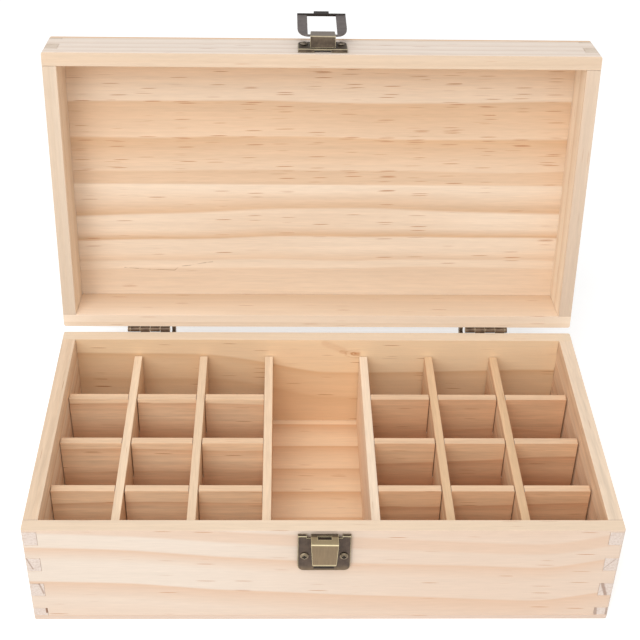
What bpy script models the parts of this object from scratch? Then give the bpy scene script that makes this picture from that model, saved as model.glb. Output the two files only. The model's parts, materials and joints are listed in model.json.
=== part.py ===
"""Pine storage box for essential oil bottles, with its lid standing open.

The case is finger jointed all round as one closed box and then sawn through, which
frees the lid. A floor board and a top board cover the wall edges. Inside, half-lapped
partitions make three columns of four cells on each side of one open compartment.
Two stop hinges carry the lid, and a swinging ring latches it in front.

Metres, +X to the right, +Y to the back, +Z up. The origin lies under the middle of
the floor board. The lid is drawn shut and then turned open about its hinge pins.
"""

import math

import bmesh
import bpy
from mathutils import Matrix, Vector

# Case: outer sizes with the lid shut, and the boards it is made of.
case_width = 0.300
case_depth = 0.1645
base_height = 0.065
lid_height = 0.0313
wall_board = 0.0075
cover_board = 0.003
corner_round = 0.0012
rim_round = 0.0006
lid_top_round = 0.0026

# Finger joints: the saw that freed the lid ran through one front finger.
finger = 0.0092
sawn_finger_on_base = 0.0011
saw_kerf = 0.0010

# Clearances.
glue_gap = 0.00015
lap_gap = 0.0005
rim_gap = 0.0004
metal_gap = 0.0003
overrun = 0.002

# Partitions: cells counted in from the side walls and from the front wall. What the
# cells leave free is the middle, and the back row is as deep as the front rows leave it.
partition = 0.0046
partition_drop = 0.0118
cells_deep = 4
cells_each_side = 3
cell_width = 0.0340
right_wall_cell_width = 0.0360
cell_depth = 0.0332
long_end_gap = 0.0005
left_end_gap = 0.0003
right_end_gap = 0.0009

# Hinges: pin, knuckles and leaves. The head end of the pin faces the box's near side.
hinge_from_case_end = 0.0515
pin_above_rim = 0.0007
pin_behind_case = 0.0019
pin_radius = 0.0006
pin_head_radius = 0.0016
pin_head = 0.0014
knuckle_pitch = 0.0059
knuckles = 4
knuckle_radius = 0.0016
knuckle_gap = 0.0003
leaf_height = 0.0112
leaf_sheet = 0.0008
leaf_corner = 0.0012
stop_lug = 0.0021
stop_lug_gap = 0.0010
stop_lug_reach = 0.0064
stop_face_start = 0.0022
stop_slack_degrees = 1.2
lid_opening_degrees = 98.4

# Screws: one size for the latch and catch, one for the hinges.
plate_screw_head = 0.0021
plate_screw_head_height = 0.0011
plate_screw_shank = 0.0009
plate_screw_length = 0.0068
hinge_screw_head = 0.0016
hinge_screw_head_height = 0.0008
hinge_screw_shank = 0.0008
hinge_screw_length = 0.0058
cross_recess_width = 0.0006
screw_dome_shares = [(0, 1), (0.5, 0.86), (0.85, 0.6), (1, 0.3), (1, 0)]
hinge_screw_inset_share = 0.6

# Latch and catch: pressed pans of thin sheet with a folded tongue in the middle.
plate_width = 0.0266
plate_sheet = 0.0008
plate_rise = 0.0022
plate_corner = 0.0032
plate_edge_round = 0.0005
plate_screw_from_middle = 0.0099
tongue_width = 0.0136
tongue_rise = 0.0090
tongue_bend = 0.0010
tongue_root = 0.0024
tongue_corner = 0.0017

catch_below_rim = 0.0019
catch_height = 0.0242
catch_screw_below_rim = 0.0152
catch_notch = 0.0021
catch_notch_depth = 0.0012
hook_top_below_rim = 0.0012
hook_foot_below_rim = 0.0163
hook_lip = 0.0016
hook_foot_width = 0.0121
hook_slot_width = 0.0069
hook_slot_start = 0.0027
hook_slot_end = 0.0051

latch_above_rim = 0.0026
latch_height = 0.0142
latch_screw_above_rim = 0.0112
latch_skirt_opening = 0.0092
bridge_near_above_rim = 0.0036
bridge_far_above_rim = 0.0135
bridge_far_width = 0.0130

# Ring: a flat strap frame that turns in the bridge on the latch plate.
ring_pivot_above_rim = 0.0113
ring_pivot_rise = 0.0070
ring_width = 0.0270
ring_strap = 0.0010
ring_arm = 0.0055
ring_pivot_bar = 0.0014
ring_corner_length = 0.0105
ring_slack = 0.0027
ring_end_fold = 0.0005
ring_tab_width = 0.0084
ring_tab_length = 0.0034
ring_rest_degrees = 175.0

# Facets of round forms, and how near two coordinates must be to count as one.
round_segments = 3
screw_segments = 16
knuckle_segments = 20
corner_segments = 5
same_place = 0.000001
board_smooth_degrees = 10
metal_smooth_degrees = 35

# Places worked out from the sizes above.
half_width = case_width / 2
half_depth = case_depth / 2
inner_half_width = half_width - wall_board
inner_half_depth = half_depth - wall_board
lid_rim = base_height + rim_gap
lid_top = lid_rim + lid_height
hinge_axis = Vector((0, half_depth + pin_behind_case, base_height + pin_above_rim))
hinge_from_middle = half_width - hinge_from_case_end
ring_axis = Vector((0, -half_depth - ring_pivot_rise, lid_rim + ring_pivot_above_rim))


def clear_scene():
    """Empties the scene, so that only the box is in it."""
    for item in list(bpy.data.objects):
        bpy.data.objects.remove(item, do_unlink=True)


def make_material(name, colour, roughness, metallic):
    """A Principled material of one colour."""
    material = bpy.data.materials.new(name)
    material.use_nodes = True
    shader = material.node_tree.nodes["Principled BSDF"]
    shader.inputs["Base Color"].default_value = (*colour, 1.0)
    shader.inputs["Roughness"].default_value = roughness
    shader.inputs["Metallic"].default_value = metallic
    return material


def make_axis(name, place, degrees, parent=None):
    """An empty on a joint's axis, turned about X. Its children are drawn unturned."""
    axis = bpy.data.objects.new(name, None)
    bpy.context.collection.objects.link(axis)
    axis.parent = parent
    axis.location = place
    axis.rotation_euler = (math.radians(degrees), 0, 0)
    return axis


def make_object(name, bm, material, parent=None, place=(0, 0, 0), smooth_degrees=metal_smooth_degrees):
    """Turns a bmesh into a named object, smooth where its faces turn less than an angle."""
    bmesh.ops.recalc_face_normals(bm, faces=bm.faces)
    mesh = bpy.data.meshes.new(name)
    bm.to_mesh(mesh)
    bm.free()
    mesh.shade_smooth()
    mesh.set_sharp_from_angle(angle=math.radians(smooth_degrees))
    made = bpy.data.objects.new(name, mesh)
    if material is not None:
        mesh.materials.append(material)
    bpy.context.collection.objects.link(made)
    made.parent = parent
    made.location = place
    return made


def combine(target, name, bm, operation):
    """Joins to the target, or cuts from it, a hidden guide that is placed as the target is."""
    guide = make_object(name, bm, None, target.parent, target.location)
    guide.hide_render = True
    guide.display_type = "WIRE"
    modifier = target.modifiers.new(name, "BOOLEAN")
    modifier.operation = operation
    modifier.solver = "EXACT"
    modifier.object = guide


def add_box(bm, low, high):
    """A closed box between two corners."""
    low, high = Vector(low), Vector(high)
    grow = Matrix.Diagonal((high - low).to_4d())
    bmesh.ops.create_cube(bm, size=1.0, matrix=Matrix.Translation((low + high) / 2) @ grow)


def add_rod(bm, start, end, radius, segments):
    """A closed round rod between two points."""
    start, end = Vector(start), Vector(end)
    turn = (end - start).to_track_quat("Z", "Y").to_matrix().to_4x4()
    place = Matrix.Translation((start + end) / 2) @ turn
    bmesh.ops.create_cone(bm, cap_ends=True, segments=segments, radius1=radius, radius2=radius,
                          depth=(end - start).length, matrix=place)


def add_prism(bm, outline, axis, low, high):
    """A closed prism: a flat outline in the plane square to an axis, drawn out along it."""
    corners = []
    for first, second in outline:
        corner = [first, second]
        corner.insert(axis, low)
        corners.append(bm.verts.new(corner))
    face = bm.faces.new(corners)
    path = [0, 0, 0]
    path[axis] = high - low
    drawn = bmesh.ops.extrude_face_region(bm, geom=[face])
    moved = [item for item in drawn["geom"] if isinstance(item, bmesh.types.BMVert)]
    bmesh.ops.translate(bm, verts=moved, vec=path)


def round_edges(bm, radius, segments, planes):
    """Rounds the edges that lie in both planes of a pair, each plane an axis and a place."""
    chosen = []
    for edge in bm.edges:
        for pair in planes:
            if all(abs(end.co[axis] - place) < same_place for end in edge.verts for axis, place in pair):
                chosen.append(edge)
    bmesh.ops.bevel(bm, geom=chosen, offset=radius, offset_type="OFFSET", segments=segments,
                    profile=0.5, affect="EDGES", clamp_overlap=True, material=-1)


def arc(centre, radius, start_degrees, end_degrees, segments):
    """Points along an arc, both ends among them."""
    points = []
    for step in range(segments + 1):
        angle = math.radians(start_degrees + (end_degrees - start_degrees) * step / segments)
        points.append((centre[0] + radius * math.cos(angle), centre[1] + radius * math.sin(angle)))
    return points


def side_finger_zones(bottom, top, first_side_edge, direction):
    """The heights at which the side boards' fingers reach through, from the sawn edge on."""
    zones = []
    edge = first_side_edge
    while bottom < edge < top:
        far = edge + direction * finger
        zones.append((max(min(edge, far), bottom), min(max(edge, far), top)))
        edge = far + direction * finger
    return sorted(zones)


def gaps_between(zones, bottom, top):
    """The heights that a list of zones leaves free between bottom and top."""
    free = []
    edge = bottom
    for low, high in zones:
        if low - edge > same_place:
            free.append((edge, low))
        edge = high
    if top - edge > same_place:
        free.append((edge, top))
    return free


def make_long_wall(name, outward, bottom, top, zones, rim, material, parent, place):
    """A front or back board, notched at both ends for the side boards' fingers."""
    face = outward * half_depth
    inner = face - outward * wall_board
    bm = bmesh.new()
    add_box(bm, (-half_width, min(face, inner), bottom), (half_width, max(face, inner), top))
    corners = [((0, side * half_width), (1, face)) for side in (-1, 1)]
    round_edges(bm, corner_round, round_segments, corners)
    round_edges(bm, rim_round, round_segments, [((1, face), (2, rim)), ((1, inner), (2, rim))])
    wall = make_object(name, bm, material, parent, place, board_smooth_degrees)

    notches = bmesh.new()
    for low, high in zones:
        low = low - glue_gap / 2 if low > bottom else bottom - overrun
        high = high + glue_gap / 2 if high < top else top + overrun
        for side in (-1, 1):
            outer = side * (half_width + overrun)
            root = side * (half_width - wall_board - glue_gap)
            add_box(notches, (min(outer, root), min(face, inner) - overrun, low),
                    (max(outer, root), max(face, inner) + overrun, high))
    combine(wall, "guide_notches_" + name, notches, "DIFFERENCE")
    return wall


def make_side_wall(name, outward, bottom, top, zones, rim, material, parent, place):
    """A left or right board, cut back wherever a finger of the long boards passes."""
    face = outward * half_width
    inner = face - outward * wall_board
    bm = bmesh.new()
    add_box(bm, (min(face, inner), -half_depth, bottom), (max(face, inner), half_depth, top))
    corners = [((1, end * half_depth), (0, face)) for end in (-1, 1)]
    round_edges(bm, corner_round, round_segments, corners)
    round_edges(bm, rim_round, round_segments, [((0, face), (2, rim)), ((0, inner), (2, rim))])
    wall = make_object(name, bm, material, parent, place, board_smooth_degrees)

    notches = bmesh.new()
    for low, high in gaps_between(zones, bottom, top):
        low = low - glue_gap / 2 if low > bottom else bottom - overrun
        high = high + glue_gap / 2 if high < top else top + overrun
        for end in (-1, 1):
            outer = end * (half_depth + overrun)
            root = end * (half_depth - wall_board - glue_gap)
            add_box(notches, (min(face, inner) - overrun, min(outer, root), low),
                    (max(face, inner) + overrun, max(outer, root), high))
    combine(wall, "guide_notches_" + name, notches, "DIFFERENCE")
    return wall


def make_walls(prefix, bottom, top, zones, rim, material, parent=None, place=(0, 0, 0)):
    """The four finger-jointed boards of the base or of the lid."""
    return {
        "front": make_long_wall(prefix + "_front", -1, bottom, top, zones, rim, material, parent, place),
        "back": make_long_wall(prefix + "_back", 1, bottom, top, zones, rim, material, parent, place),
        "left": make_side_wall(prefix + "_left", -1, bottom, top, zones, rim, material, parent, place),
        "right": make_side_wall(prefix + "_right", 1, bottom, top, zones, rim, material, parent, place),
    }


def make_base_floor(material):
    """The board glued under the walls, as long and as wide as the case."""
    bm = bmesh.new()
    add_box(bm, (-half_width, -half_depth, 0), (half_width, half_depth, cover_board))
    corners = [((0, side * half_width), (1, end * half_depth)) for side in (-1, 1) for end in (-1, 1)]
    round_edges(bm, corner_round, round_segments, corners)
    make_object("base_floor", bm, material, smooth_degrees=board_smooth_degrees)


def make_lid_top(material, parent, place):
    """The board glued over the lid's walls, with its upper edge rounded all round."""
    bm = bmesh.new()
    add_box(bm, (-half_width, -half_depth, lid_top - cover_board), (half_width, half_depth, lid_top))
    corners = [((0, side * half_width), (1, end * half_depth)) for side in (-1, 1) for end in (-1, 1)]
    round_edges(bm, corner_round, round_segments, corners)
    upper = [edge for edge in bm.edges if all(abs(end.co.z - lid_top) < same_place for end in edge.verts)]
    bmesh.ops.bevel(bm, geom=upper, offset=lid_top_round, offset_type="OFFSET", segments=corner_segments,
                    profile=0.5, affect="EDGES", clamp_overlap=True, material=-1)
    make_object("lid_top", bm, material, parent, place, board_smooth_degrees)


def long_partition_places():
    """The middles of the six long partitions, from the left wall to the right."""
    pitch = cell_width + partition
    left = [-inner_half_width + cell_width + partition / 2 + index * pitch for index in range(cells_each_side)]
    last = inner_half_width - right_wall_cell_width - partition / 2
    right = [last - index * pitch for index in range(cells_each_side)]
    return left + right[::-1]


def cross_partition_places():
    """The middles of the cross partitions, from the front wall to the back."""
    places = []
    for index in range(1, cells_deep):
        places.append(-inner_half_depth + index * (cell_depth + partition) - partition / 2)
    return places


def lap_slots(places, low_gap, high_gap):
    """The slot for each crossing partition, with its clearance on either side."""
    return [(place - partition / 2 - low_gap, place + partition / 2 + high_gap) for place in places]


def comb_outline(start, end, bottom, top, slots, cut_from_top):
    """A board's outline with half-lap slots, all cut from above or all from below."""
    middle = (bottom + top) / 2
    outline = [(start, bottom)]
    if not cut_from_top:
        depth = middle + glue_gap
        for low, high in slots:
            outline += [(low, bottom), (low, depth), (high, depth), (high, bottom)]
    outline += [(end, bottom), (end, top)]
    if cut_from_top:
        depth = middle - glue_gap
        for low, high in reversed(slots):
            outline += [(high, top), (high, depth), (low, depth), (low, top)]
    outline.append((start, top))
    return outline


def make_long_partitions(longs, crosses, bottom, top, material):
    """Boards from front to back. The two beside the middle have no slots."""
    slots = lap_slots(crosses, lap_gap / 2, lap_gap / 2)
    start, end = -inner_half_depth + long_end_gap, inner_half_depth - long_end_gap
    for index, place in enumerate(longs):
        beside_middle = index in (cells_each_side - 1, cells_each_side)
        outline = comb_outline(start, end, bottom, top, [] if beside_middle else slots, False)
        bm = bmesh.new()
        add_prism(bm, outline, 0, place - partition / 2, place + partition / 2)
        side = "left" if index < cells_each_side else "right"
        make_object("long_partition_%s_%d" % (side, index % cells_each_side + 1), bm, material)


def make_cross_partitions(longs, crosses, bottom, top, material):
    """Boards from each side wall to the middle. Their slots leave room on the middle's side."""
    last_left, first_right = longs[cells_each_side - 1], longs[cells_each_side]
    left_slots = lap_slots(longs[:cells_each_side - 1], glue_gap, lap_gap)
    right_slots = lap_slots(longs[cells_each_side + 1:], lap_gap, glue_gap)
    left_start, left_end = -inner_half_width + left_end_gap, last_left - partition / 2 - glue_gap
    right_start, right_end = first_right + partition / 2 + glue_gap, inner_half_width - right_end_gap
    for number, place in enumerate(crosses, start=1):
        for side, start, end, slots in (("left", left_start, left_end, left_slots),
                                        ("right", right_start, right_end, right_slots)):
            bm = bmesh.new()
            add_prism(bm, comb_outline(start, end, bottom, top, slots, True), 1,
                      place - partition / 2, place + partition / 2)
            make_object("cross_partition_%s_%d" % (side, number), bm, material)


def make_screw(name, seat, outward, head, head_height, shank, length, material, parent, place):
    """A cross-head screw: domed head outside its seat, plain shank inside."""
    seat = Vector(seat)
    out = Vector(outward)
    bm = bmesh.new()
    profile = [(across * head, up * head_height) for across, up in screw_dome_shares]
    profile += [(shank, 0), (shank, shank - length), (0, -length)]
    verts = [bm.verts.new((radius, 0, height)) for radius, height in profile]
    edges = [bm.edges.new(pair) for pair in zip(verts, verts[1:])]
    bmesh.ops.spin(bm, geom=verts + edges, axis=(0, 0, 1), cent=(0, 0, 0), angle=math.tau,
                   steps=screw_segments, use_merge=True)
    bmesh.ops.remove_doubles(bm, verts=bm.verts, dist=same_place)
    turn = out.to_track_quat("Z", "Y").to_matrix().to_4x4()
    bmesh.ops.transform(bm, matrix=Matrix.Translation(seat) @ turn, verts=bm.verts)
    screw = make_object(name, bm, material, parent, place)

    recess = bmesh.new()
    long_half, short_half = head / 2, cross_recess_width / 2
    cross = [(short_half, short_half), (short_half, long_half), (-short_half, long_half),
             (-short_half, short_half), (-long_half, short_half), (-long_half, -short_half),
             (-short_half, -short_half), (-short_half, -long_half), (short_half, -long_half),
             (short_half, -short_half), (long_half, -short_half), (long_half, short_half)]
    add_prism(recess, cross, 2, head_height / 2, head_height + overrun)
    bmesh.ops.transform(recess, matrix=Matrix.Translation(seat) @ turn, verts=recess.verts)
    combine(screw, "guide_recess_" + name, recess, "DIFFERENCE")


def drill(target, name, seats, outward, radius, depth):
    """Blind pilot holes in a board, or clear holes in a plate, square to the face."""
    holes = bmesh.new()
    out = Vector(outward)
    for seat in seats:
        seat = Vector(seat)
        add_rod(holes, seat + out * overrun, seat - out * depth, radius, screw_segments)
    combine(target, name, holes, "DIFFERENCE")


def hinge_stations():
    """Distances along a hinge from its pin head: knuckle starts, knuckle end, lug start and end."""
    knuckle_end = pin_head + knuckles * knuckle_pitch
    lug_start = knuckle_end + stop_lug_gap
    return knuckle_end, lug_start, lug_start + stop_lug


def hinge_screw_seats(side, up):
    """Where a leaf's two screws enter its board, on the board's back face."""
    knuckle_end, _, end = hinge_stations()
    height = hinge_axis.z + up * (leaf_height + knuckle_radius + knuckle_gap) / 2
    places = []
    inset = knuckle_pitch * hinge_screw_inset_share
    for along in (pin_head + inset, knuckle_end - inset):
        places.append((side * (hinge_from_middle + end / 2 - along), half_depth, height))
    return places


def make_leaf(name, side, up, own_knuckles, material, parent, place):
    """One leaf: flat sheet on the board, its share of the knuckles, and a stop lug past them."""
    knuckle_end, lug_start, end = hinge_stations()

    def across(along):
        return side * (hinge_from_middle + end / 2 - along)

    axis_y, axis_z = hinge_axis.y, hinge_axis.z
    back = half_depth + metal_gap
    front = back + leaf_sheet
    clear = knuckle_radius + knuckle_gap
    bm = bmesh.new()
    x_low, x_high = sorted((across(pin_head), across(end)))
    z_low, z_high = sorted((axis_z + up * clear, axis_z + up * leaf_height))
    add_box(bm, (x_low, back, z_low), (x_high, front, z_high))
    far_edge = axis_z + up * leaf_height
    round_edges(bm, leaf_corner, round_segments, [((0, x_low), (2, far_edge)), ((0, x_high), (2, far_edge))])
    leaf = make_object(name, bm, material, parent, place)

    rolls = bmesh.new()
    necks = bmesh.new()
    for index in own_knuckles:
        start = pin_head + index * knuckle_pitch + knuckle_gap / 2
        stop = start + knuckle_pitch - knuckle_gap
        add_rod(rolls, (across(start), axis_y, axis_z), (across(stop), axis_y, axis_z),
                knuckle_radius, knuckle_segments)
        low, high = sorted((axis_z, axis_z + up * (clear + leaf_sheet)))
        x_low, x_high = sorted((across(start), across(stop)))
        add_box(necks, (x_low, back, low), (x_high, front, high))
    combine(leaf, "guide_necks_" + name, necks, "UNION")
    combine(leaf, "guide_rolls_" + name, rolls, "UNION")

    half_stop = math.radians(90 - (180 - lid_opening_degrees) / 2 + stop_slack_degrees)
    cosine, sine = math.cos(half_stop), math.sin(half_stop)
    outline = [
        (back, axis_z + up * clear),
        (back, axis_z + up * stop_lug_reach),
        (front, axis_z + up * stop_lug_reach),
        (axis_y + stop_lug_reach * cosine, axis_z + up * stop_lug_reach * sine),
        (axis_y + stop_face_start * cosine, axis_z + up * stop_face_start * sine),
    ]
    lug = bmesh.new()
    x_low, x_high = sorted((across(lug_start), across(end)))
    add_prism(lug, outline, 0, x_low, x_high)
    combine(leaf, "guide_lug_" + name, lug, "UNION")

    bore = bmesh.new()
    add_rod(bore, (across(0), axis_y, axis_z), (across(knuckle_end + stop_lug_gap / 2), axis_y, axis_z),
            pin_radius + metal_gap, screw_segments)
    combine(leaf, "guide_bore_" + name, bore, "DIFFERENCE")
    drill(leaf, "guide_holes_" + name, hinge_screw_seats(side, up), (0, 1, 0),
          hinge_screw_shank + metal_gap, overrun)


def make_hinge_pin(name, side, material):
    """A plain pin with a head, which stays with the base."""
    knuckle_end, _, end = hinge_stations()

    def across(along):
        return side * (hinge_from_middle + end / 2 - along)

    bm = bmesh.new()
    profile = [(0, 0), (pin_head_radius, 0), (pin_head_radius, pin_head), (pin_radius, pin_head),
               (pin_radius, knuckle_end), (0, knuckle_end)]
    verts = [bm.verts.new((across(along), radius, 0)) for radius, along in profile]
    edges = [bm.edges.new(pair) for pair in zip(verts, verts[1:])]
    bmesh.ops.spin(bm, geom=verts + edges, axis=(1, 0, 0), cent=(0, 0, 0), angle=math.tau,
                   steps=screw_segments, use_merge=True)
    bmesh.ops.remove_doubles(bm, verts=bm.verts, dist=same_place)
    make_object(name, bm, material, place=(0, hinge_axis.y, hinge_axis.z))


def make_hinges(metal, base_walls, lid_walls, parent, place):
    """Two hinges of one pattern. The right one is turned end for end, so its knuckles swap."""
    screw = (hinge_screw_head, hinge_screw_head_height, hinge_screw_shank, hinge_screw_length)
    seat_y = half_depth + metal_gap + leaf_sheet + metal_gap
    for hand, side, lid_knuckles in (("left", -1, (0, 2)), ("right", 1, (1, 3))):
        base_knuckles = [index for index in range(knuckles) if index not in lid_knuckles]
        make_leaf("hinge_%s_base_leaf" % hand, side, -1, base_knuckles, metal, None, (0, 0, 0))
        make_leaf("hinge_%s_lid_leaf" % hand, side, 1, lid_knuckles, metal, parent, place)
        make_hinge_pin("hinge_%s_pin" % hand, side, metal)
        for up, owner, board, carrier, offset in ((-1, "base", base_walls["back"], None, (0, 0, 0)),
                                                  (1, "lid", lid_walls["back"], parent, place)):
            seats = hinge_screw_seats(side, up)
            drill(board, "guide_%s_hinge_pilots_%s" % (hand, owner), seats, (0, 1, 0),
                  hinge_screw_shank + metal_gap, hinge_screw_length)
            for number, seat in enumerate(seats, start=1):
                head = (seat[0], seat_y, seat[2])
                name = "hinge_%s_%s_screw_%d" % (hand, owner, number)
                make_screw(name, head, (0, 1, 0), *screw, metal, carrier, offset)


def pan_outline(inset, near, far):
    """A plate's outline in X and Z: square at the joint edge, rounded at the far edge."""
    half = plate_width / 2 - inset
    step = 1 if far > near else -1
    near_edge = near + step * inset
    far_edge = far - step * inset
    radius = plate_corner - inset
    outline = [(-half, near_edge), (half, near_edge)]
    outline += arc((half - radius, far_edge - step * radius), radius, 0, step * 90, corner_segments)
    outline += arc((radius - half, far_edge - step * radius), radius, step * 90, step * 180, corner_segments)
    return outline


def make_pan(name, near, far, material, parent, place):
    """A pressed plate: a raised sheet with a skirt all round that stands on the board."""
    face = -half_depth
    bm = bmesh.new()
    add_prism(bm, pan_outline(0, near, far), 1, face - plate_rise, face - metal_gap)
    upper = [edge for edge in bm.edges
             if all(abs(end.co.y - face + plate_rise) < same_place for end in edge.verts)]
    bmesh.ops.bevel(bm, geom=upper, offset=plate_edge_round, offset_type="OFFSET", segments=round_segments,
                    profile=0.5, affect="EDGES", clamp_overlap=True, material=-1)
    pan = make_object(name, bm, material, parent, place)
    hollow = bmesh.new()
    add_prism(hollow, pan_outline(plate_sheet, near, far), 1,
              face - plate_rise + plate_sheet, face + overrun)
    combine(pan, "guide_hollow_" + name, hollow, "DIFFERENCE")
    return pan


def strip_outline(path, bend, sheet):
    """The edge view of a bent strip: a path of the outer side, offset inwards by the sheet.

    The path is a list of corners. Each inner corner is rounded by the bend radius.
    """
    outer, inner = [path[0]], []
    points = [Vector(point) for point in path]
    first_way = (points[1] - points[0]).normalized()
    turn = 1 if (points[1] - points[0]).cross(points[2] - points[1]) > 0 else -1

    def inward(way):
        return Vector((-way.y, way.x)) * turn

    inner.append(tuple(points[0] + inward(first_way) * sheet))
    for before, corner, after in zip(points, points[1:], points[2:]):
        way_in = (corner - before).normalized()
        way_out = (after - corner).normalized()
        centre = corner - way_in * bend + way_out * bend
        start = math.degrees(math.atan2(*reversed(-inward(way_in))))
        sweep = turn * math.degrees(math.acos(max(-1.0, min(1.0, way_in.dot(way_out)))))
        outer += arc(centre, bend, start, start + sweep, round_segments)
        inner += arc(centre, bend - sheet, start, start + sweep, round_segments)
    last_way = (points[-1] - points[-2]).normalized()
    outer.append(tuple(points[-1]))
    inner.append(tuple(points[-1] + inward(last_way) * sheet))
    return outer + inner[::-1]


def trim_tongue(pan, name, start, end, end_width):
    """Tapers a folded tongue in front of its pan, and rounds its two corners at the end."""
    step = 1 if end > start else -1
    half_start, half_end = tongue_width / 2, end_width / 2
    outer, past = half_start + overrun, end + step * overrun
    corner = arc((half_end - tongue_corner, end - step * tongue_corner), tongue_corner, 0, step * 90,
                 corner_segments)
    outline = [(outer, start), (half_start, start)] + corner + [(half_end - tongue_corner, past), (outer, past)]
    trims = bmesh.new()
    for side in (-1, 1):
        add_prism(trims, [(side * x, z) for x, z in outline], 1, -half_depth - tongue_rise - overrun,
                  -half_depth - plate_rise - metal_gap)
    combine(pan, name, trims, "DIFFERENCE")


def plate_screw_seats(height):
    """Where a plate's two screws enter the front boards."""
    return [(side * plate_screw_from_middle, -half_depth, height) for side in (-1, 1)]


def fit_plate_screws(prefix, pan, board, height, material, parent, place):
    """Two screws through a plate, with their clear holes and pilots."""
    seats = plate_screw_seats(height)
    drill(pan, "guide_holes_" + prefix, [(x, -half_depth - plate_rise, z) for x, _, z in seats], (0, -1, 0),
          plate_screw_shank + metal_gap, plate_rise)
    drill(board, "guide_pilots_" + prefix, seats, (0, -1, 0), plate_screw_shank + metal_gap,
          plate_screw_length - plate_rise)
    for hand, (x, _, z) in zip(("left", "right"), seats):
        make_screw("%s_screw_%s" % (prefix, hand), (x, -half_depth - plate_rise - metal_gap, z), (0, -1, 0),
                   plate_screw_head, plate_screw_head_height, plate_screw_shank, plate_screw_length,
                   material, parent, place)


def make_catch(material, board):
    """The base's half: a pan whose tongue folds out and down into a hook."""
    face = -half_depth
    near = base_height - catch_below_rim
    far = near - catch_height
    pan = make_pan("catch_plate", near, far, material, None, (0, 0, 0))

    root_y = face - plate_rise + plate_sheet
    crest_y = face - tongue_rise
    top_z = base_height - hook_top_below_rim
    foot_z = base_height - hook_foot_below_rim
    path = [(root_y, near - tongue_root), (root_y, top_z), (crest_y, top_z), (crest_y, foot_z),
            (crest_y + hook_lip, foot_z)]
    tongue = bmesh.new()
    add_prism(tongue, strip_outline(path, tongue_bend, plate_sheet), 0, -tongue_width / 2, tongue_width / 2)
    combine(pan, "guide_hook", tongue, "UNION")
    trim_tongue(pan, "guide_hook_trims", top_z - tongue_bend, foot_z, hook_foot_width)

    openings = bmesh.new()
    for side in (-1, 1):
        low, high = sorted((side * tongue_width / 2, side * (tongue_width / 2 + catch_notch)))
        add_box(openings, (low, face - plate_rise - overrun, near - catch_notch_depth),
                (high, face, near + overrun))
    add_box(openings, (-hook_slot_width / 2, face - hook_slot_end, top_z - overrun),
            (hook_slot_width / 2, face - hook_slot_start, top_z + overrun))
    combine(pan, "guide_catch_openings", openings, "DIFFERENCE")
    fit_plate_screws("catch", pan, board, base_height - catch_screw_below_rim, material, None, (0, 0, 0))


def make_latch(material, board, parent, place):
    """The lid's half: a pan whose tongue folds over into a bridge for the ring."""
    face = -half_depth
    near = lid_rim + latch_above_rim
    far = near + latch_height
    pan = make_pan("latch_plate", near, far, material, parent, place)

    root_y = face - plate_rise + plate_sheet
    crest_y = face - tongue_rise
    far_z = lid_rim + bridge_far_above_rim
    near_z = lid_rim + bridge_near_above_rim
    foot_y = face - plate_rise - metal_gap
    path = [(root_y, far_z - tongue_root), (root_y, far_z), (crest_y, far_z), (crest_y, near_z),
            (foot_y, near_z)]
    tongue = bmesh.new()
    add_prism(tongue, strip_outline(path, tongue_bend, plate_sheet), 0, -tongue_width / 2, tongue_width / 2)
    combine(pan, "guide_bridge", tongue, "UNION")
    trim_tongue(pan, "guide_bridge_trims", near_z + tongue_bend, far_z, bridge_far_width)

    opening = bmesh.new()
    add_box(opening, (-latch_skirt_opening / 2, face - plate_rise + plate_sheet, near - overrun),
            (latch_skirt_opening / 2, face, near + plate_sheet + overrun / 2))
    combine(pan, "guide_skirt_opening", opening, "DIFFERENCE")
    fit_plate_screws("latch", pan, board, lid_rim + latch_screw_above_rim, material, parent, place)


def ring_reach():
    """From the ring's axis to the inner side of its end: just past the hook's foot."""
    drop = ring_pivot_above_rim + rim_gap + hook_foot_below_rim
    return math.hypot(drop, tongue_rise - ring_pivot_rise) + ring_slack


def make_ring(material, parent):
    """The swinging ring, drawn hanging down over the hook from its own axis.

    Its shoulders are quarter ellipses that draw in to the bar turning in the bridge.
    """
    half = ring_width / 2
    reach = ring_reach()
    half_strap = ring_strap / 2
    half_bar = ring_pivot_bar / 2
    end = -reach - ring_strap
    outline = [(-half, end), (half, end)]
    for side, start_degrees in ((1, 0), (-1, 90)):
        shoulder = arc((0, 0), 1, start_degrees, start_degrees + 90, corner_segments)
        outline += [(side * (half - ring_arm) + along * ring_arm,
                     half_bar - ring_corner_length + out * ring_corner_length) for along, out in shoulder]
    bm = bmesh.new()
    add_prism(bm, outline, 1, -half_strap, half_strap)
    ring = make_object("latch_ring", bm, material, parent)

    opening = bmesh.new()
    add_box(opening, (ring_arm - half, -half_strap - overrun, -reach),
            (half - ring_arm, half_strap + overrun, -half_bar))
    combine(ring, "guide_ring_opening", opening, "DIFFERENCE")

    fold = bmesh.new()
    add_box(fold, (-half, -half_strap, end), (half, half_strap + ring_end_fold, -reach))
    combine(ring, "guide_ring_fold", fold, "UNION")
    tab = bmesh.new()
    add_box(tab, (-ring_tab_width / 2, half_strap + ring_end_fold - ring_strap, end - ring_tab_length),
            (ring_tab_width / 2, half_strap + ring_end_fold, -reach - ring_strap / 2))
    combine(ring, "guide_ring_tab", tab, "UNION")


clear_scene()

pine = make_material("pine", (0.80, 0.62, 0.43), 0.62, 0.0)
pine_partition = make_material("pine_partition", (0.76, 0.57, 0.38), 0.65, 0.0)
bronze = make_material("antique_bronze", (0.21, 0.16, 0.09), 0.42, 0.9)

lid_axis = make_axis("lid_hinge_axis", hinge_axis, -lid_opening_degrees)
lid_place = -hinge_axis
latch_axis = make_axis("latch_ring_axis", ring_axis - hinge_axis, -ring_rest_degrees, lid_axis)

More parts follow.
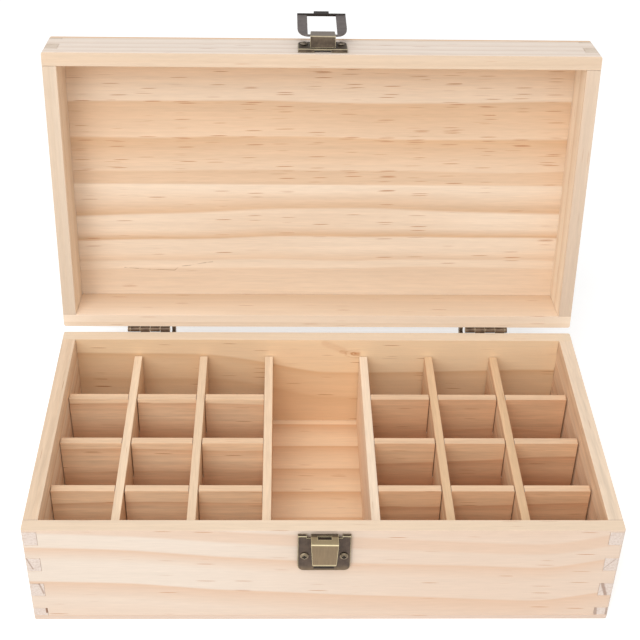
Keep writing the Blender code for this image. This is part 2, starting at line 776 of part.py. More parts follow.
base_bottom = cover_board + glue_gap
base_zones = side_finger_zones(base_bottom, base_height, base_height - sawn_finger_on_base, -1)
base_boards = make_walls("base", base_bottom, base_height, base_zones, base_height, pine)
make_base_floor(pine)
long_places = long_partition_places()
cross_places = cross_partition_places()
partition_top = base_height - partition_drop
make_long_partitions(long_places, cross_places, base_bottom, partition_top, pine_partition)
make_cross_partitions(long_places, cross_places, base_bottom, partition_top, pine_partition)

lid_boards_top = lid_top - cover_board - glue_gap
first_lid_finger = finger - sawn_finger_on_base - saw_kerf
lid_zones = side_finger_zones(lid_rim, lid_boards_top, lid_rim + first_lid_finger, 1)
lid_boards = make_walls("lid", lid_rim, lid_boards_top, lid_zones, lid_rim, pine, lid_axis, lid_place)
make_lid_top(pine, lid_axis, lid_place)

make_hinges(bronze, base_boards, lid_boards, lid_axis, lid_place)
make_catch(bronze, base_boards["front"])
make_latch(bronze, lid_boards["front"], lid_axis, lid_place)
make_ring(bronze, latch_axis)
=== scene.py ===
import json
import math

import bmesh
import bpy
from mathutils import Matrix, Vector


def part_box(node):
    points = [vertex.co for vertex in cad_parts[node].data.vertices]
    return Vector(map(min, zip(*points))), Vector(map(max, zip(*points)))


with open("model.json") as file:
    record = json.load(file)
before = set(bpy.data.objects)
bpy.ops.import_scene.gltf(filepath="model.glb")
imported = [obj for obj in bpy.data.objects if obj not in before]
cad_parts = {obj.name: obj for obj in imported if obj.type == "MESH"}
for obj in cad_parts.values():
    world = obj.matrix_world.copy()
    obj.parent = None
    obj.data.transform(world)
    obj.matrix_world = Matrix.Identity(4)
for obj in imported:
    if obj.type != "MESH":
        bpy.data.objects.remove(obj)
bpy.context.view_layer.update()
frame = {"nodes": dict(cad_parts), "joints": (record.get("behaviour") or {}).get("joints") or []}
nodes = frame["nodes"]

# Base floor
# A thin board of planed pine, edge to edge under the four walls, glued on and trimmed flush with them.
# Its grain runs the length of the case. The pine of all the boards starts from what is defined here.


class Number:
    """One number of a finish, so that shader maths is written as plain sums."""

    def __init__(self, finish, socket):
        self.finish = finish
        self.socket = socket

    def math(self, operation, *operands):
        return self.finish.add("ShaderNodeMath", {"operation": operation}, dict(enumerate(operands)))

    def __add__(self, other):
        return self.math("ADD", self, other)

    __radd__ = __add__

    def __sub__(self, other):
        return self.math("SUBTRACT", self, other)

    def __rsub__(self, other):
        return self.math("SUBTRACT", other, self)

    def __mul__(self, other):
        return self.math("MULTIPLY", self, other)

    __rmul__ = __mul__

    def __truediv__(self, other):
        return self.math("DIVIDE", self, other)

    def __rtruediv__(self, other):
        return self.math("DIVIDE", other, self)

    def __pow__(self, other):
        return self.math("POWER", self, other)

    def __abs__(self):
        return self.math("ABSOLUTE", self)

    def rise(self, low, high):
        """0 below low and 1 above high, smooth between them. The other way round if low is the higher."""
        limits = {"Value": self, "From Min": low, "From Max": high}
        return self.finish.add("ShaderNodeMapRange", {"interpolation_type": "SMOOTHSTEP"}, limits)

    def within(self, low, high):
        return self.finish.add("ShaderNodeClamp", {}, {"Value": self, "Min": low, "Max": high})


class Finish:
    """A material, and the nodes that vary it over a piece."""

    def __init__(self, name):
        self.material = bpy.data.materials.new(name)
        self.material.use_nodes = True
        self.tree = self.material.node_tree
        self.surface = self.tree.nodes["Principled BSDF"]

    def add(self, kind, settings, sockets, output=0):
        """Adds one node: its settings first, then what its sockets get. Returns one of its outputs."""
        node = self.tree.nodes.new(kind)
        for name, value in settings.items():
            if name == "stops":
                self.set_stops(node.color_ramp, value)
            elif name == "interpolation":
                node.color_ramp.interpolation = value
            else:
                setattr(node, name, value)
        for name, value in sockets.items():
            self.feed(node.inputs[name], value)
        return Number(self, node.outputs[output])

    def set_stops(self, ramp, stops):
        while len(ramp.elements) < len(stops):
            ramp.elements.new(1)
        for element, (place, value) in zip(ramp.elements, stops):
            element.position = place
            element.color = (value, value, value, 1)

    def feed(self, socket, value):
        if isinstance(value, Number):
            self.tree.links.new(value.socket, socket)
        else:
            socket.default_value = value

    def vary(self, **sockets):
        """Feeds the surface's own sockets, such as Base_Color."""
        for name, value in sockets.items():
            self.feed(self.surface.inputs[name.replace("_", " ")], value)

    def mix(self, share, colour, other):
        return self.add("ShaderNodeMix", {"data_type": "RGBA"}, {0: share, 6: colour, 7: other}, 2)

    def brighten(self, colour, share):
        return self.add("ShaderNodeVectorMath", {"operation": "SCALE"}, {0: colour, "Scale": share})

    def vector(self, x, y, z):
        return self.add("ShaderNodeCombineXYZ", {}, {0: x, 1: y, 2: z})

    def noise(self, place, detail=2):
        return self.add("ShaderNodeTexNoise", {}, {"Vector": place, "Scale": 1, "Detail": detail})

    def bump(self, height, depth, strength):
        relief = {"Height": height, "Distance": depth, "Strength": strength}
        self.vary(Normal=self.add("ShaderNodeBump", {}, relief))


def paint(red, green, blue):
    """A colour in the numbers a paint chart gives, 0 to 255, as light."""
    def light(value):
        value = value / 255
        return value / 12.92 if value < 0.04045 else ((value + 0.055) / 1.055) ** 2.4
    return (light(red), light(green), light(blue), 1)


def board_place(finish, order, shut):
    """How far along, across and through its grain a point of a board lies, and how far it faces each way.
    order names the axes of those three. shut is the turn and the shift that bring a board of the open lid
    back to where it lies when the lid is closed."""
    place = finish.add("ShaderNodeTexCoord", {}, {}, "Object")
    normal = finish.add("ShaderNodeTexCoord", {}, {}, "Normal")
    if shut:
        turn, shift = shut
        place = finish.add("ShaderNodeMapping", {}, {"Vector": place, "Rotation": turn, "Location": shift})
        turned = {"Vector": normal, "Rotation": turn}
        normal = finish.add("ShaderNodeMapping", {"vector_type": "VECTOR"}, turned)
    places = [finish.add("ShaderNodeSeparateXYZ", {}, {0: place}, axis) for axis in order]
    return places, [finish.add("ShaderNodeSeparateXYZ", {}, {0: normal}, axis) for axis in order]


def rings(pith_across, pith_through, ring_width, waver=0.0035, sharp=3.0, flecks=0.07):
    """The shade of yearly rings round a pith that lies at that place across and through the board.
    Every shade gives how dark the wood is, and the share of it that has brown flecks."""
    def shade(finish, u, v, w, start):
        drift = finish.noise(finish.vector(u * 7 + start, v * 16, w * 16), 1) - 0.5
        aside = (v - pith_across + drift * waver * 2) ** 2 + (w - pith_through + drift * waver) ** 2
        years = aside ** 0.5 / ring_width + start
        year = years.math("FRACT", years)
        return year ** sharp * year.rise(1, 0.95), flecks
    return shade


fleck_tone, crack_tone = paint(166, 106, 62), paint(122, 84, 58)
end_pale, end_dark = paint(205, 192, 183), paint(182, 163, 151)


def pine(piece, order, shade, start, tones, outward=0, shut=None, marks=None, figure=1, end_share=0.95,
         mark_tone=crack_tone, warm_glow=None):
    """Gives a board its own pine: rings, clouds, streaks, fibres, brown flecks and grey end grain. They
    change slowly along the grain (u) and fast across and through it (v and w), and start shifts them, so
    that no two boards are alike. The factors of u, v and w say how many changes there are in a metre.
    tones: its pale wood, its dark wood, its clouds and its sawn edges, then the pale and the dark wood of
    its sanded outside. outward: which way that faces through the grain. figure: how strongly the board is
    streaked. end_share: how clearly its end grain is told apart. marks: its cracks or its knot, drawn in
    mark_tone. warm_glow: the share of its wood painted warmer, as reflected light, and that tone."""
    pale, dark, clouded, sawn, sanded_pale, sanded_dark = tones
    finish = Finish(piece.name + "_pine")
    (u, v, w), (end_on, edge_on, face_on) = board_place(finish, order, shut)
    darkness, fleck_share = shade(finish, u, v, w, start)
    cloud = finish.noise(finish.vector(u * 5 + start, v * 32, w * 32))
    streak = finish.noise(finish.vector(u * 8, v * 330 + start, w * 330), 3)
    fibre = finish.noise(finish.vector(u * 90, v * 1300, w * 1300 + start), 1)
    pores = finish.noise(finish.vector(u * 60, v * 900, w * 900 + start), 3)
    outside = (face_on * outward).rise(0.5, 0.8)
    sawn_share = abs(edge_on).rise(0.6, 0.8)
    end = abs(end_on).rise(0.55, 0.8)

    colour = finish.mix(darkness, pale, dark)
    colour = finish.mix(cloud.rise(0.35, 0.75) * 0.5, colour, clouded)
    colour = finish.mix(outside, colour, finish.mix(darkness, sanded_pale, sanded_dark))
    colour = finish.mix(sawn_share * 0.8, colour, sawn)
    # A painted warm glow, as light reflected onto the board.
    if warm_glow:
        glow_share, glow_tone = warm_glow
        colour = finish.mix(glow_share(v) * (1 - outside), colour, glow_tone)
    streaks = (streak - 0.5) * (0.36 - outside * 0.22) + (fibre - 0.5) * 0.26
    colour = finish.brighten(colour, 1 + streaks * figure)

    cells = {"Vector": finish.vector(u * 52 + start, v * 1300 + u * 20, w * 1300), "Scale": 1}
    near = finish.add("ShaderNodeTexVoronoi", {}, cells, "Distance")
    chosen = finish.add("ShaderNodeTexVoronoi", {}, cells, "Color")
    chance = finish.add("ShaderNodeSeparateColor", {}, {0: chosen})
    fleck = near.rise(0.34, 0.18) * chance.rise(1 - fleck_share, 1 - fleck_share * 0.2)
    colour = finish.mix(fleck * (0.82 - sawn_share * 0.4), colour, fleck_tone)

    end_tone = finish.mix(pores.rise(0.35, 0.75) * 0.7 + darkness * 0.15, end_pale, end_dark)
    colour = finish.mix(end * end_share, colour, end_tone)
    if marks:
        colour = finish.mix(marks(finish, u, v, w), colour, mark_tone)
    finish.vary(Base_Color=colour, Roughness=0.66 - darkness * 0.1 + (fibre - 0.5) * 0.2)
    finish.vary(Specular_IOR_Level=0.3)
    finish.bump(fibre * 0.5 + streak * 0.5 + darkness * 0.6, 0.00012, 0.35)
    piece.material_slots[0].material = finish.material


def ease_edges(piece, width, sharpest=40):
    """Takes the sharpness off a piece's edges, where its faces meet at more than that many degrees."""
    weld = piece.modifiers.new("joined_corners", "WELD")
    weld.merge_threshold = 0.00001
    bevel = piece.modifiers.new("eased_edges", "BEVEL")
    bevel.width = width
    bevel.segments = 2
    bevel.limit_method = "ANGLE"
    bevel.angle_limit = math.radians(sharpest)


def base_tones(sawn, pale=paint(242, 214, 181), dark=paint(214, 170, 129)):
    """The base's wood: one board's sawn edges, and the pale and the dark wood of its inside."""
    return (pale, dark, paint(230, 195, 160), sawn, paint(210, 197, 183), paint(201, 166, 138))


floor_tones = base_tones(paint(192, 174, 163), paint(239, 211, 178))
pine(nodes["base_floor"], "XYZ", rings(-0.30, -0.09, 0.0195, 0.002, 2), 0.35, floor_tones, -1, figure=0.5)
ease_edges(nodes["base_floor"], 0.0003)

# Base walls
# Four pine boards with finger joints at the corners, glued, and sawn free of the lid in one cut.
# Their outsides are sanded flush, so each corner shows plain fingers beside grey end grain.

front_sweep_shares = [
    (0, 1), (0.18, 0.84), (0.32, 0.55), (0.5, 0.36), (0.67, 0.24), (0.85, 0), (0.92, 0.15), (1, 0.6),
]
front_band_shares = [
    (0, 0.4), (0.18, 0.25), (0.33, 0.78), (0.342, 0.08), (0.52, 0.1), (0.58, 0.38), (0.64, 0.76),
    (0.655, 0.12), (0.76, 0.08), (0.78, 0.5), (0.86, 0.6), (0.88, 0.15), (1, 0.4),
]
back_sweep_shares = [(0, 1), (0.28, 1), (0.39, 0.67), (0.5, 0), (0.7, 0.12), (0.9, 0.3), (1, 0.25)]
back_band_shares = [
    (0, 0.5), (0.3, 0.38), (0.42, 0.66), (0.45, 0.42), (0.6, 0.5), (0.655, 0.78), (0.672, 0.18),
    (0.8, 0.2), (1, 0),
]


def sweeping_bands(name, sweep, sweep_shares, band_shares, deeper, flecks=0.1):
    """The long bands of a wall, which rise and sink along it by the sweep, in metres. The lists give the
    height of the sweep from the left, and the darkness of the bands from the foot, as shares.
    deeper darkens the wall's right half and evens it out."""
    low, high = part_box(name)

    def shade(finish, u, v, w, start):
        along = (u - low.x) / (high.x - low.x)
        stops = {"stops": sweep_shares, "interpolation": "B_SPLINE"}
        rise = finish.add("ShaderNodeValToRGB", stops, {"Fac": along})
        drift = finish.noise(finish.vector(u * 9 + start, v * 40, w * 40), 1) - 0.5
        height = v + (1 - rise) * sweep + (w - low.y) * 0.4 + drift * 0.004
        reach = (height - low.z) / (high.z - low.z + sweep)
        bands = finish.add("ShaderNodeValToRGB", {"stops": band_shares}, {"Fac": reach})
        return (bands + along.rise(0.2, 0.75) * (1.7 - bands * 2) * deeper).within(0, 1), flecks
    return shade


def scratch(finish, across, up, start, end, width):
    """The share of a fine line that runs between two places on a board."""
    run, climb = end[0] - start[0], end[1] - start[1]
    length = math.hypot(run, climb)
    run, climb = run / length, climb / length
    passed = ((across - start[0]) * run + (up - start[1]) * climb).within(0, length)
    aside = (across - start[0] - passed * run) ** 2 + (up - start[1] - passed * climb) ** 2
    return (aside ** 0.5).rise(width, width * 0.3)


left_cracks = [
    ((-0.1492, 0.0455), (-0.1466, 0.0379), 0.0006, 0.5),
    ((-0.1448, 0.0272), (-0.1431, 0.0200), 0.0007, 0.5),
    ((-0.1482, 0.0268), (-0.1444, 0.0268), 0.0003, 0.4),
    ((-0.1429, 0.0086), (-0.1429, 0.0056), 0.0008, 0.95),
]
right_cracks = [
    ((0.1480, 0.0449), (0.1429, 0.0384), 0.0004, 0.4),
    ((0.1438, 0.0270), (0.1465, 0.0186), 0.0013, 0.6),
    ((0.1429, 0.0086), (0.1434, 0.0034), 0.0012, 0.55),
    ((0.1488, 0.0086), (0.1490, 0.0034), 0.0009, 0.5),
]


def cracks(lines):
    """Gaps and torn fibres in the front finger ends of a side board. Each line has its two ends, from the
    middle of the case and from its foot, half its width, and how dark it is."""
    def share(finish, u, v, w):
        total = 0
        for start, end, width, depth in lines:
            total = total + scratch(finish, w, v, start, end, width) * depth
        return total * u.rise(-0.078, -0.081)
    return share


knot_middle, knot_half_sizes = (0.0232, 0.0548), (0.0030, 0.0013)
knot_tone = paint(182, 114, 54)


def knot(finish, u, v, w):
    """A small knot high on the back board, and the darker grain that runs down to it from the left."""
    across, up = (u - knot_middle[0]) / knot_half_sizes[0], (v - knot_middle[1]) / knot_half_sizes[1]
    aside = (across ** 2 + up ** 2) ** 0.5
    drift = finish.noise(finish.vector(u * 200, v * 600, w), 2)
    turns = aside * 5 + drift * 5
    ripple = turns.math("SINE", turns).rise(0.1, 0.9)
    swirl = aside.rise(0.9, 0.4) * 0.6 + ripple * aside.rise(3.2, 1.0) * u.rise(0.0262, 0.0240) * 0.5
    down = scratch(finish, u, v, (0.0040, 0.0625), (0.0150, 0.0572), 0.0032)
    along = scratch(finish, u, v, (0.0140, 0.0562), (0.0215, 0.0552), 0.0020)
    return (swirl + (down * 0.2 + along * 0.26) * (0.3 + drift)) * v.rise(0.0650, 0.0640)


pale_rim = paint(226, 207, 184)
front = sweeping_bands("base_front", 0.017, front_sweep_shares, front_band_shares, 0.22)
back = sweeping_bands("base_back", 0.016, back_sweep_shares, back_band_shares, 0)
left, right = rings(0.10, -0.20, 0.0086, 0.006), rings(-0.06, 0.21, 0.0100, 0.007)
back_tones = base_tones(pale_rim, paint(240, 213, 176), paint(212, 169, 124))
left_tones = base_tones(paint(215, 190, 164), paint(247, 222, 193), paint(228, 190, 152))
right_tones = base_tones(paint(226, 207, 185), paint(242, 211, 179), paint(228, 190, 153))
pine(nodes["base_front"], "XZY", front, 0.1, base_tones(pale_rim), -1, figure=0.5)
pine(nodes["base_back"], "XZY", back, 0.7, back_tones, 1, marks=knot, figure=0.4, mark_tone=knot_tone)
pine(nodes["base_left"], "YZX", left, 1.3, left_tones, -1, marks=cracks(left_cracks))
pine(nodes["base_right"], "YZX", right, 2.1, right_tones, 1, marks=cracks(right_cracks))
for side in ("front", "back", "left", "right"):
    ease_edges(nodes["base_" + side], 0.0002)

# Partitions
# Thin pine boards on both sides of the open middle: three from front to back, and three from the side wall
# to the middle. Half-lapped where they cross, they are pushed together and dropped in, with no glue.

common_wood = (paint(238, 206, 170), paint(192, 128, 80), paint(222, 181, 142))
# Paler wood for one long partition, as painted light on its lit face.
lit_wood = (paint(252, 232, 208), paint(234, 200, 164), paint(245, 219, 190))
red_wood = (paint(224, 184, 145), paint(174, 101, 56), paint(208, 158, 118))
common_rim = paint(221, 191, 160)
long_rims = {
    "long_partition_left_1": paint(233, 211, 184), "long_partition_left_2": paint(229, 205, 176),
    "long_partition_left_3": paint(230, 207, 180), "long_partition_right_1": paint(232, 212, 188),
    "long_partition_right_2": paint(213, 181, 144), "long_partition_right_3": paint(210, 176, 138),
}
common_low_shade, lit_low_shade = 0.85, 0.2
start, start_step = 3.0, 0.37


def partition(name, order, start, ring_shade, low_shade, wood, rim):
    """A partition painted darker and redder towards its foot, as painted shade deep in its cell, and sawn
    to a rim of its own tone.
    """
    def deepened(finish, u, v, w, start):
        darkness, flecks = ring_shade(finish, u, v, w, start)
        drift = finish.noise(finish.vector(u * 9 + start, v * 12, w), 1) - 0.5
        # Painted shade: darker and redder low down, where the cells are deep.
        low = (v + drift * 0.02).rise(0.044, 0.014)
        return darkness.math("MAXIMUM", darkness * 0.5, low * low_shade), flecks

    pine(nodes[name], order, deepened, start, wood + (rim, wood[0], wood[1]))
    ease_edges(nodes[name], 0.0004)


for side, cross_wood in (("left", common_wood), ("right", red_wood)):
    for number in (1, 2, 3):
        start = start + start_step
        name = f"long_partition_{side}_{number}"
        low_shade, wood = common_low_shade, common_wood
        # This partition is painted paler, with less painted shade low down, as painted light on its lit
        # face.
        if name == "long_partition_right_1":
            low_shade, wood = lit_low_shade, lit_wood
        long_rings = rings(0.03 + 0.02 * number, 0.05 + start * 0.02, 0.0062)
        partition(name, "YZX", start, long_rings, low_shade, wood, long_rims[name])
        start = start + start_step
        name = f"cross_partition_{side}_{number}"
        cross_rings = rings(-0.02, -0.06 - start * 0.02, 0.0066)
        partition(name, "XZY", start, cross_rings, common_low_shade, cross_wood, common_rim)

# Lid walls
# Four pine boards, finger-jointed and glued. The closed case was sawn in two to free the lid, so they
# carry on the fingers of the base's corners, and their rim shows fresh sawn wood.

lid_joint = next(joint for joint in frame["joints"] if joint["name"] == "lid_hinge")
lid_pin = Vector(lid_joint["pos_m"])
lid_opening = math.radians(lid_joint["range_deg"][1])
lid_shift = lid_pin - Matrix.Rotation(lid_opening, 3, "X") @ lid_pin
lid_shut = ((lid_opening, 0, 0), lid_shift)
lit_side_dark = paint(230, 205, 176)


def lid_wall(side, order, shade, start, pale, sawn, outward, figure, dark=paint(206, 174, 142)):
    """Gives one of the lid's walls its wood: the pale and the dark wood of its inside, and its sawn rim."""
    wall = nodes["lid_" + side]
    tones = (pale, dark, paint(215, 190, 163), sawn, paint(240, 225, 211), paint(227, 206, 188))
    pine(wall, order, shade, start, tones, outward, lid_shut, figure=figure, end_share=0.5)
    ease_edges(wall, 0.0002)


front_rings, back_rings = rings(0.15, -0.16, 0.0052), rings(0.02, 0.30, 0.0120, 0.002, 1.5)
left_rings, right_rings = rings(0.12, -0.20, 0.0095), rings(-0.02, 0.22, 0.0100)
lid_wall("front", "XZY", front_rings, 0.2, paint(226, 203, 177), paint(205, 181, 156), -1, 0.6)
lid_wall("back", "XZY", back_rings, 5.2, paint(254, 236, 215), paint(224, 203, 180), 1, 0.4)
# The side walls' inner faces are painted paler than the front wall's, as painted light.
lid_wall("left", "YZX", left_rings, 5.9, paint(244, 224, 200), paint(198, 177, 155), -1, 0.6, lit_side_dark)
lid_wall("right", "YZX", right_rings, 6.3, paint(249, 232, 209), paint(196, 172, 150), 1, 0.6, lit_side_dark)

# Lid top
# Two planks glued edge to edge into one thin board, glued over the lid's walls. The rings of the two
# planks run opposite ways, so the bands change over at the straight glue line a little behind the middle.

lid_band_shares = [
    (0.04, 0.4), (0.212, 0.2), (0.218, 0.82), (0.26, 0.76), (0.34, 0.5), (0.346, 0.9), (0.468, 0.4),
    (0.474, 0.68), (0.519, 0.58),
    (0.522, 0.04), (0.55, 0.14), (0.612, 0.8), (0.62, 0.04), (0.68, 0.18), (0.712, 0.85), (0.718, 0.1),
    (0.77, 0.15), (0.803, 0.5), (0.808, 0.14), (0.836, 0.16), (0.842, 0.4), (0.89, 0.3), (0.95, 0.12),
]
lid_depth = 0.1645
glue_line = 0.521
plank_bend, bend_middle = 0.139, 0.04
front_flecks, rear_flecks, rearmost_flecks = 0.46, 0.12, 0.04


def lid_bands(finish, u, v, w, start):
    """The bands of the two planks, those of the rear one bending back towards the lid's ends. Places are
    shares of the lid's depth, from its front."""
    share = (v + lid_depth / 2) / lid_depth
    bend = (u - bend_middle) ** 2 * plank_bend * share.rise(glue_line + 0.001, 0.6)
    drift = finish.noise(finish.vector(u * 8 + start, v * 30, w * 30), 1) - 0.5
    reach = share - bend / lid_depth + drift * abs(share - glue_line).rise(0, 0.03) * 0.045
    bands = finish.add("ShaderNodeValToRGB", {"stops": lid_band_shares}, {"Fac": reach})
    rear = share.rise(glue_line - 0.006, glue_line + 0.004)
    rearmost = share.rise(0.8, 0.82)
    fewer = rear * (front_flecks - rear_flecks) + rearmost * (rear_flecks - rearmost_flecks)
    return bands, front_flecks - fewer


lid_crack = [
    (-0.1159, 0.0571), (-0.1023, 0.0583), (-0.0860, 0.0588), (-0.0827, 0.0562), (-0.0766, 0.0556),
    (-0.0690, 0.0540), (-0.0630, 0.0532),
]


def fine_crack(finish, u, v, w):
    """A fine broken crack that wanders along the rear plank, near its left end."""
    total = 0
    for start, end in zip(lid_crack, lid_crack[1:]):
        total = total + scratch(finish, u, v, start, end, 0.0003)
    broken = finish.noise(finish.vector(u * 260, v * 260, w), 2)
    return total.within(0, 1) * broken.rise(0.3, 0.6) * 0.6


def front_glow(across):
    """The front plank is painted warmer along its front edge, as a glow of reflected light."""
    return across.rise(-0.048, -0.076) * 0.85


lid_top_tones = (
    paint(230, 211, 189), paint(201, 160, 120), paint(216, 187, 158),
    paint(216, 196, 174), paint(222, 206, 188), paint(206, 179, 152),
)
pine(nodes["lid_top"], "XYZ", lid_bands, 0.9, lid_top_tones, 1, lid_shut, fine_crack, 0.6,
     warm_glow=(front_glow, paint(233, 195, 157)))
ease_edges(nodes["lid_top"], 0.0003)

# Hinges
# Two small butt hinges of thin steel plated in antique bronze. Each has a leaf on the base and one on the
# lid, whose rolled knuckles turn on a headed pin and whose lugs meet to stop the lid.

shadow = paint(34, 25, 20)


def bronze(name, deep, body, worn_and_highlit, sheen_and_polish=None, painted_highlight=None, painted_shadow=None, shut=None, bends=True, wear=0.0006):
    """Antique plating: blotched and brushed, worn bright along its edges, and near black in its hollows, as
    patina and as painted shade. sheen_and_polish gives the share of a second, lighter tone, painted where
    the piece is rubbed and as sheen where it catches the light, and that tone. painted_highlight gives
    places painted bright besides, as highlights, and painted_shadow those painted dark, as shadow. bends
    says that its folds are worn bright too. wear is the width of the worn edges. shut is as for the lid's
    boards."""
    finish = Finish(name)
    (x, y, z), facings = board_place(finish, "XYZ", shut)
    place = finish.vector(x, y, z)
    cloud = finish.noise(finish.brighten(place, 260), 4)
    speck = finish.noise(finish.brighten(place, 1700), 2)
    brushed = finish.noise(finish.vector(x * 2200, y * 900, z * 110), 2)
    soft = finish.add("ShaderNodeBevel", {"samples": 6}, {"Radius": wear})
    true = finish.add("ShaderNodeNewGeometry", {}, {}, "Normal")
    agree = finish.add("ShaderNodeVectorMath", {"operation": "DOT_PRODUCT"}, {0: soft, 1: true}, "Value")
    open_air = finish.add("ShaderNodeAmbientOcclusion", {"samples": 8}, {"Distance": 0.004}, "AO")
    edge = agree.rise(0.99, 0.9)
    if bends:
        across, out, up = (abs(facing) for facing in facings)
        flat = up.math("MAXIMUM", up, up.math("MAXIMUM", across, out))
        edge = edge.math("MAXIMUM", edge, flat.rise(0.97, 0.84) * 0.7)
    edge = edge * open_air.rise(0.35, 0.7)
    # Painted highlights, added to the worn edges.
    if painted_highlight:
        edge = edge + painted_highlight(finish, x, y, z, facings)
    edge = edge * (0.5 + cloud * 0.7)

    colour = finish.mix(cloud.rise(0.3, 0.7), deep, body)
    # A lighter tone, painted as wear where the piece is rubbed and as sheen where it catches the light.
    if sheen_and_polish:
        share, tone = sheen_and_polish
        colour = finish.mix(share(finish, x, y, z, facings) * (0.75 + cloud * 0.4), colour, tone)
    colour = finish.brighten(colour, 1 + (brushed - 0.5) * 0.4)
    colour = finish.mix(edge.within(0, 1), colour, worn_and_highlit)
    # Painted shade, together with patina: near black where other surfaces hem the piece in.
    colour = finish.mix(open_air.rise(0.55, 0.2) * 0.9, colour, shadow)
    # Painted shadow: near black where shade is painted in.
    if painted_shadow:
        colour = finish.mix(painted_shadow(finish, x, y, z, facings) * 0.92, colour, shadow)
    finish.vary(Base_Color=colour, Metallic=0.6, Roughness=0.38 + cloud * 0.2)
    finish.bump(speck + brushed, 0.00003, 0.3)
    return finish.material


small_round, plate_round = 0.00012, 0.0003


def plate(piece, plating, edge_round):
    """Gives a metal piece its plating, and rolls over its edges."""
    piece.material_slots[0].material = plating
    ease_edges(piece, edge_round, 35)
    piece.modifiers.new("even_shading", "WEIGHTED_NORMAL")


hinge_finish = bronze(
    "hinge_bronze", paint(88, 70, 56), paint(126, 104, 84), paint(210, 188, 154), bends=False,
)
for side in ("left", "right"):
    for part in ("base_leaf", "lid_leaf", "pin"):
        plate(nodes[f"hinge_{side}_{part}"], hinge_finish, small_round)

# Catch plate
# A shallow pan pressed from thin plated steel, screwed to the base's front. A tapered tongue is folded out
# of its middle and down into the hook that the ring drops over. The hook is painted bright, as wear where
# the ring rubs it and as painted sheen where it catches the light.

catch_low, catch_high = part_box("catch_plate")
hook_foot = catch_high.z - 0.0151


def hook_crest(finish, x, y, z, facings):
    """The catch's hook, painted lighter where the ring rubs it and where it stands out into the light, and
    the foot of its plate.
    """
    return (y - catch_low.y).rise(0.0067, 0.0057) + z.rise(catch_low.z + 0.005, catch_low.z) * 0.6


def hook_edges(finish, x, y, z, facings):
    """Painted highlights along the bend of the hook's foot, and on the hook's top, which faces up."""
    lip = (z - hook_foot).rise(0.0018, 0.0010) * (y - catch_low.y).rise(0.0020, 0.0012) * 0.8
    return lip + facings[2].rise(0.6, 0.9) * (y - catch_low.y).rise(0.0060, 0.0052) * 0.35


def below_hook(finish, x, y, z, facings):
    """A dark line painted on the plate below the hook's foot, as painted shadow."""
    tall = z.rise(catch_low.z + 0.0012, catch_low.z + 0.0018) * z.rise(hook_foot + 0.001, hook_foot)
    return tall * abs(x).rise(0.0054, 0.0050) * (y - catch_low.y).rise(0.0060, 0.0064)


catch_finish = bronze(
    "catch_bronze", paint(70, 57, 48), paint(90, 75, 63), paint(218, 204, 164),
    (hook_crest, paint(132, 113, 87)), hook_edges, below_hook,
)
plate(nodes["catch_plate"], catch_finish, plate_round)

# Latch plate
# A pan like the catch's, screwed to the lid's front. Its tongue is folded over into a bridge that holds
# the ring's bar, and the front of the bridge is painted lighter, as painted light on its upward face.

bridge_low = lid_pin.z + 0.0024


def bridge_crest(finish, x, y, z, facings):
    """The front of the latch's bridge, painted lighter as painted light, since it faces up when the lid is
    open.
    """
    proud = y.rise(-0.0865, -0.0885)
    return facings[1].rise(-0.4, -0.9) * z.rise(bridge_low, bridge_low + 0.0006) * proud


latch_finish = bronze(
    "latch_bronze", paint(72, 60, 48), paint(100, 86, 70), paint(196, 182, 150),
    (bridge_crest, paint(142, 131, 121)), shut=lid_shut,
)
plate(nodes["latch_plate"], latch_finish, plate_round)

# Latch ring
# A ring of flat plated strap that turns in the latch plate's bridge. Its end is folded up into a bar with
# a small finger tab in the middle.

ring_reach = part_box("latch_ring")[1].y


def ring_end(finish, x, y, z, facings):
    """The folded end of the ring and its finger tab, painted dark as shade, darker than its arms."""
    return y.rise(ring_reach - 0.0058, ring_reach - 0.0048)


ring_finish = bronze(
    "ring_bronze", paint(108, 99, 96), paint(126, 117, 113), paint(176, 166, 156), painted_shadow=ring_end,
    bends=False, wear=0.0002,
)
plate(nodes["latch_ring"], ring_finish, plate_round)

# Screws
# Small domed cross-head screws of plated steel, two through each plate and each hinge leaf into the
# boards. Their crosses are painted full of shadow, and those of the latch plate are painted a little
# darker, as shade.

screw_tones = (paint(112, 96, 76), paint(150, 133, 108), paint(226, 212, 180))
# The latch plate's screws are painted darker, as painted shade.
latch_screw_shaded_tones = (paint(106, 94, 82), paint(140, 126, 112), paint(214, 200, 172))


def screw_cross(middle):
    """The cross recess of the screw whose axis runs through middle, painted full of shadow."""
    def share(finish, x, y, z, facings):
        across, up = abs(x - middle.x), abs(z - middle.z)
        narrow = across.math("MINIMUM", across, up)
        long = across.math("MAXIMUM", across, up)
        return narrow.rise(0.00066, 0.00044) * long.rise(0.00135, 0.00110)
    return share


for name, screw in nodes.items():
    if "screw" not in name:
        continue
    low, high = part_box(name)
    middle, shut = (low + high) / 2, None
    if name.startswith("latch") or "lid" in name:
        middle, shut = Matrix.Rotation(lid_opening, 3, "X") @ middle + lid_shift, lid_shut
    tones = latch_screw_shaded_tones if name.startswith("latch") else screw_tones
    screw_finish = bronze(name + "_bronze", *tones, painted_shadow=screw_cross(middle), shut=shut, bends=False)
    plate(screw, screw_finish, small_round)

# Studio
# A white room with a matt floor that glows a little, so that it comes out pure white under the case.
# Two square softboxes light the case, a weaker one in front of it and a stronger one above.

scene = bpy.context.scene
scene.view_settings.view_transform = "Standard"
world = bpy.data.worlds.new("white_room")
scene.world = world
world.use_nodes = True
room_light = world.node_tree.nodes["Background"].inputs
room_light["Color"].default_value = (1, 1, 1, 1)
room_light["Strength"].default_value = 0.6

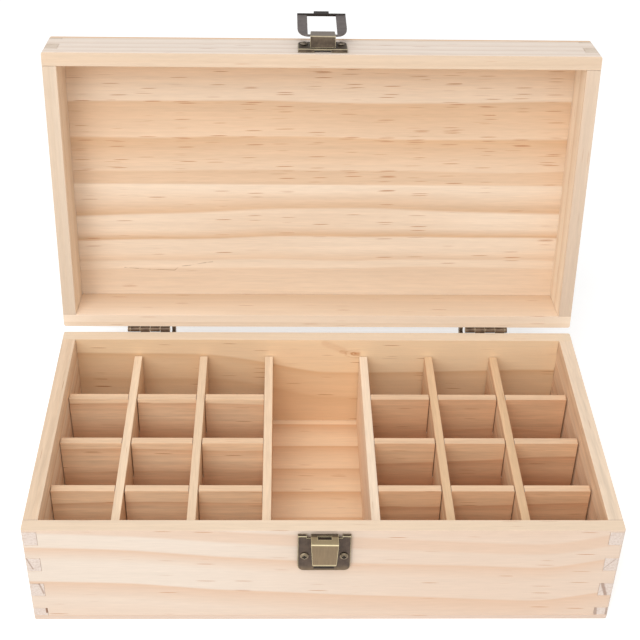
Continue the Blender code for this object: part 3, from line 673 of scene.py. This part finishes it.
floor_half_width = 6
floor_gap = 0.0001
floor_mesh = bpy.data.meshes.new("studio_floor")
floor_shape = bmesh.new()
bmesh.ops.create_grid(floor_shape, x_segments=1, y_segments=1, size=floor_half_width)
floor_shape.to_mesh(floor_mesh)
floor_shape.free()
floor = bpy.data.objects.new("studio_floor", floor_mesh)
scene.collection.objects.link(floor)
floor.location.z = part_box("base_floor")[0].z - floor_gap
floor_finish = Finish("studio_floor")
floor_finish.vary(Base_Color=(0.92, 0.92, 0.92, 1), Roughness=0.9)
floor_finish.vary(Emission_Color=(1, 1, 1, 1), Emission_Strength=0.3)
floor_mesh.materials.append(floor_finish.material)


def softbox(name, place, power, size=1.0):
    """A square softbox aimed at the middle of the case."""
    light = bpy.data.lights.new(name, "AREA")
    light.size = size
    light.energy = power
    box = bpy.data.objects.new(name, light)
    scene.collection.objects.link(box)
    box.location = place
    box.rotation_euler = (Vector((0, 0, 0.05)) - Vector(place)).to_track_quat("-Z", "Y").to_euler()


softbox("front_box", (-0.9, -1.5, 0.9), 8.5)
softbox("top_box", (-0.2, -0.95, 1.5), 15.5)

# Camera
# It looks down on the open case from the front through a long lens. Its focus and the middle of its
# view are in pixels of a square picture, the middle counted from the top left.

picture_size = 640
picture_focus = 1324.08
picture_middle = (310.74, 349.39)
camera_place = (-0.021911, -0.548362, 0.533179)
camera_tilt, camera_roll, camera_pan = 0.651531, 0.003065, 0.022485

camera_data = bpy.data.cameras.new("camera")
camera_data.sensor_width = 36
camera_data.lens = picture_focus / picture_size * camera_data.sensor_width
camera_data.shift_x = (picture_size / 2 - picture_middle[0]) / picture_size
camera_data.shift_y = (picture_middle[1] - picture_size / 2) / picture_size
camera_data.clip_start = 0.01
camera = bpy.data.objects.new("camera", camera_data)
scene.collection.objects.link(camera)
turns = ((camera_pan, "Z"), (camera_roll, "Y"), (camera_tilt, "X"))
pan, roll, tilt = (Matrix.Rotation(angle, 3, axis) for angle, axis in turns)
view = pan @ roll @ tilt
facing = Matrix((view[0], view[2], -view[1])).transposed().to_4x4()
camera.matrix_world = Matrix.Translation(camera_place) @ facing
scene.camera = camera
